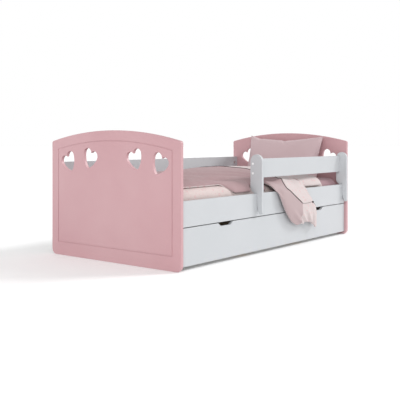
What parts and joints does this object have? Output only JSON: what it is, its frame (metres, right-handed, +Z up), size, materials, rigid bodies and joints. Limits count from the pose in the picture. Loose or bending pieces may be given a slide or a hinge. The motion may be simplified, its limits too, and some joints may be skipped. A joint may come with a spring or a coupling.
{
  "type": "toddler bed",
  "caption": "Toddler bed with arched pink end panels and heart cut-outs, white side boards, a half-length guard, a slatted base, a full-length under-bed drawer, and bedding.",
  "frame": {"origin": "on the floor, in the middle of the whole bed's outline", "axes": "+X runs along the bed from the foot to the head, -Y points to the side with the guard and the drawer, +Z is up"},
  "size_m": [1.64, 0.884, 0.635],
  "materials": {
    "pink_board": "18 mm board, satin dusty-pink lacquer on all faces and edges",
    "white_board": "melamine-faced board with 1 mm white edge banding, satin",
    "hardboard": "4 mm hardboard, white-lacquered",
    "pine": "planed softwood, bare",
    "beech": "fluted hardwood dowel",
    "webbing": "woven polyester webbing",
    "zinc_steel": "zinc-plated steel",
    "white_steel": "white powder-coated sheet steel",
    "nylon": "moulded nylon",
    "white_plastic": "stick-on plastic cap",
    "mattress_cover": "soft fitted sheet, pale pink",
    "duvet_cover": "brushed cotton cover, dusty pink on one side of a dark piping and pale with small flowers on the other",
    "pillow_cover": "brushed cotton pillow case, grey pink"
  },
  "bodies": {
    "frame": {"footboard": "pink_board", "headboard": "pink_board", "front_rail": "white_board", "rear_panel": "white_board", "batten_front": "pine", "batten_rear": "pine", "slat_01": "pine", "slat_02": "pine", "slat_03": "pine", "slat_04": "pine", "slat_05": "pine", "slat_06": "pine", "slat_07": "pine", "slat_08": "pine", "slat_09": "pine", "slat_10": "pine", "slat_11": "pine", "slat_12": "pine", "slat_13": "pine", "slat_strap_front": "webbing", "slat_strap_rear": "webbing", "slat_screws": "zinc_steel", "batten_screws": "zinc_steel", "cam_bolts": "zinc_steel", "cam_locks": "zinc_steel", "dowels": "beech", "guard_post_foot": "white_board", "guard_post_head": "white_board", "guard_board": "white_board", "guard_screws": "zinc_steel", "guard_confirmats": "zinc_steel", "guard_caps": "white_plastic", "mattress": "mattress_cover", "duvet": "duvet_cover", "duvet_corner": "duvet_cover", "pillow": "pillow_cover", "cabinet_runner_foot": "white_steel", "cabinet_runner_head": "white_steel", "cabinet_roller_pins": "zinc_steel", "cabinet_runner_screws": "zinc_steel"},
    "drawer": {"drawer_front": "white_board", "drawer_side_foot": "white_board", "drawer_side_head": "white_board", "drawer_back": "white_board", "drawer_bottom": "hardboard", "drawer_brace_foot": "pine", "drawer_brace_head": "pine", "drawer_runner_foot": "white_steel", "drawer_runner_head": "white_steel", "drawer_roller_pins": "zinc_steel", "drawer_runner_screws": "zinc_steel", "drawer_cam_bolts": "zinc_steel", "drawer_cam_locks": "zinc_steel", "drawer_confirmats": "zinc_steel"},
    "cabinet_roller_foot_body": {"cabinet_roller_foot": "nylon"},
    "cabinet_roller_head_body": {"cabinet_roller_head": "nylon"},
    "drawer_roller_foot_body": {"drawer_roller_foot": "nylon"},
    "drawer_roller_head_body": {"drawer_roller_head": "nylon"}
  },
  "joints": [
    {"name": "drawer_slide", "type": "slide", "parent": "frame", "child": "drawer", "axis": [0, -1, 0], "range_m": [0, 0.4], "deforming": ["duvet_corner"]},
    {"name": "cabinet_roller_foot_spin", "type": "hinge", "parent": "frame", "child": "cabinet_roller_foot_body", "pos_m": [-0.7959, -0.372, 0.0534], "axis": [1, 0, 0], "continuous": true},
    {"name": "cabinet_roller_head_spin", "type": "hinge", "parent": "frame", "child": "cabinet_roller_head_body", "pos_m": [0.7959, -0.372, 0.0534], "axis": [1, 0, 0], "continuous": true},
    {"name": "drawer_roller_foot_spin", "type": "hinge", "parent": "drawer", "child": "drawer_roller_foot_body", "pos_m": [-0.7959, 0.192, 0.0528], "axis": [1, 0, 0], "continuous": true},
    {"name": "drawer_roller_head_spin", "type": "hinge", "parent": "drawer", "child": "drawer_roller_head_body", "pos_m": [0.7959, 0.192, 0.0528], "axis": [1, 0, 0], "continuous": true}
  ],
  "couplings": [
    {"joint": "cabinet_roller_foot_spin", "follows": "drawer_slide", "rad_per_m": 86.957},
    {"joint": "cabinet_roller_head_spin", "follows": "drawer_slide", "rad_per_m": 86.957},
    {"joint": "drawer_roller_foot_spin", "follows": "drawer_slide", "rad_per_m": 86.957},
    {"joint": "drawer_roller_head_spin", "follows": "drawer_slide", "rad_per_m": 86.957}
  ]
}
